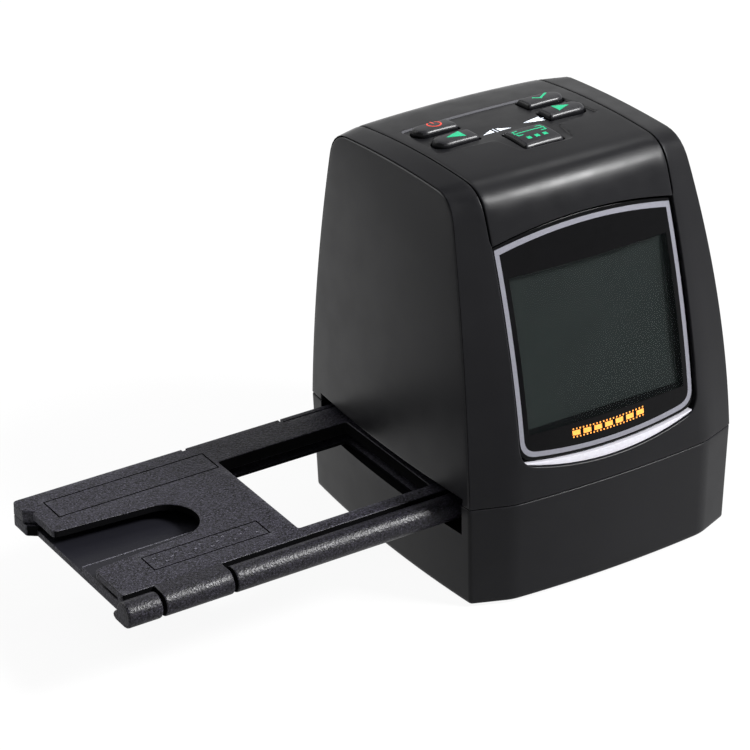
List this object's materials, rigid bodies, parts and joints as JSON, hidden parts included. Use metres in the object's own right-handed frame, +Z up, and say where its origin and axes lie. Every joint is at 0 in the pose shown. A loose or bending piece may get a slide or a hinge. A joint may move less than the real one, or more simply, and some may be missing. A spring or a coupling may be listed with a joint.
{
  "type": "film negative scanner",
  "caption": "Tall black film scanner with a leaning display window, keys on top and a long flat film holder with a hinged lid sliding through a slot in its base.",
  "frame": {"origin": "centre of the base's flat underside; the feet stand 0.8 mm below it", "axes": "+X to the right seen from the display's side, along the holder's travel; +Y to the back; +Z up"},
  "size_m": [0.173, 0.0828, 0.1063],
  "materials": {
    "case": "fine-textured matte black",
    "panel": "fine-textured matte black",
    "key": "smooth satin black with printed symbols",
    "window": "clear window with a black printed border",
    "silver": "satin silver",
    "holder": "coarse-textured matte black",
    "black_inner": "dull black against stray light",
    "white_inner": "white",
    "board": "green solder mask",
    "white_board": "white solder mask",
    "screen": "glossy",
    "ribbon": "amber film",
    "steel": "plain",
    "shield": "bright plating",
    "chip": "matte moulding",
    "lens": "coated",
    "led": "clear moulding over yellow phosphor",
    "rubber": "matt"
  },
  "bodies": {
    "scanner": {"base_shell": "case", "upper_housing": "case", "left_side_panel": "panel", "right_side_panel": "panel", "top_cover": "case", "display_glass": "window", "chin_trim": "silver", "lcd_module": "screen", "lcd_ribbon": "ribbon", "key_board": "board", "key_switches": "shield", "key_board_screws": "steel", "key_ribbon": "ribbon", "main_board": "board", "image_chip": "chip", "main_board_screws": "steel", "usb_socket": "shield", "tv_jack": "black_inner", "card_socket": "shield", "optical_hood": "black_inner", "lens_barrel": "black_inner", "front_lens": "lens", "rear_lens": "lens", "sensor_board": "board", "image_sensor": "chip", "sensor_screws": "steel", "camera_ribbon": "ribbon", "film_gate": "black_inner", "gate_screws": "steel", "detent_spring": "steel", "diffuser": "white_inner", "light_box": "white_inner", "led_board": "white_board", "leds": "led", "led_ribbon": "ribbon", "case_screws": "steel", "rubber_feet": "rubber"},
    "film_holder": {"holder_tray": "holder", "hinge_pins": "steel"},
    "holder_lid": {"holder_lid": "holder"},
    "power_key": {"power_key": "key"},
    "left_key": {"left_key": "key"},
    "ok_key": {"ok_key": "key"},
    "right_key": {"right_key": "key"},
    "scan_key": {"scan_key": "key"}
  },
  "joints": [
    {"name": "holder_slide", "type": "slide", "parent": "scanner", "child": "film_holder", "axis": [1, 0, 0], "range_m": [-0.068, 0.163]},
    {"name": "lid_hinge", "type": "hinge", "parent": "film_holder", "child": "holder_lid", "pos_m": [0, -0.0256, 0.0225], "axis": [1, 0, 0], "range_deg": [0, 3]},
    {"name": "power_key_press", "type": "slide", "parent": "scanner", "child": "power_key", "axis": [0, 0, -1], "range_m": [0, 0.0006], "stiffness_N_per_m": 400, "springref_m": -0.0005},
    {"name": "left_key_press", "type": "slide", "parent": "scanner", "child": "left_key", "axis": [0, 0, -1], "range_m": [0, 0.0006], "stiffness_N_per_m": 400, "springref_m": -0.0005},
    {"name": "ok_key_press", "type": "slide", "parent": "scanner", "child": "ok_key", "axis": [0, 0, -1], "range_m": [0, 0.0006], "stiffness_N_per_m": 400, "springref_m": -0.0005},
    {"name": "right_key_press", "type": "slide", "parent": "scanner", "child": "right_key", "axis": [0, 0, -1], "range_m": [0, 0.0006], "stiffness_N_per_m": 400, "springref_m": -0.0005},
    {"name": "scan_key_press", "type": "slide", "parent": "scanner", "child": "scan_key", "axis": [0, 0, -1], "range_m": [0, 0.0006], "stiffness_N_per_m": 400, "springref_m": -0.0005}
  ]
}
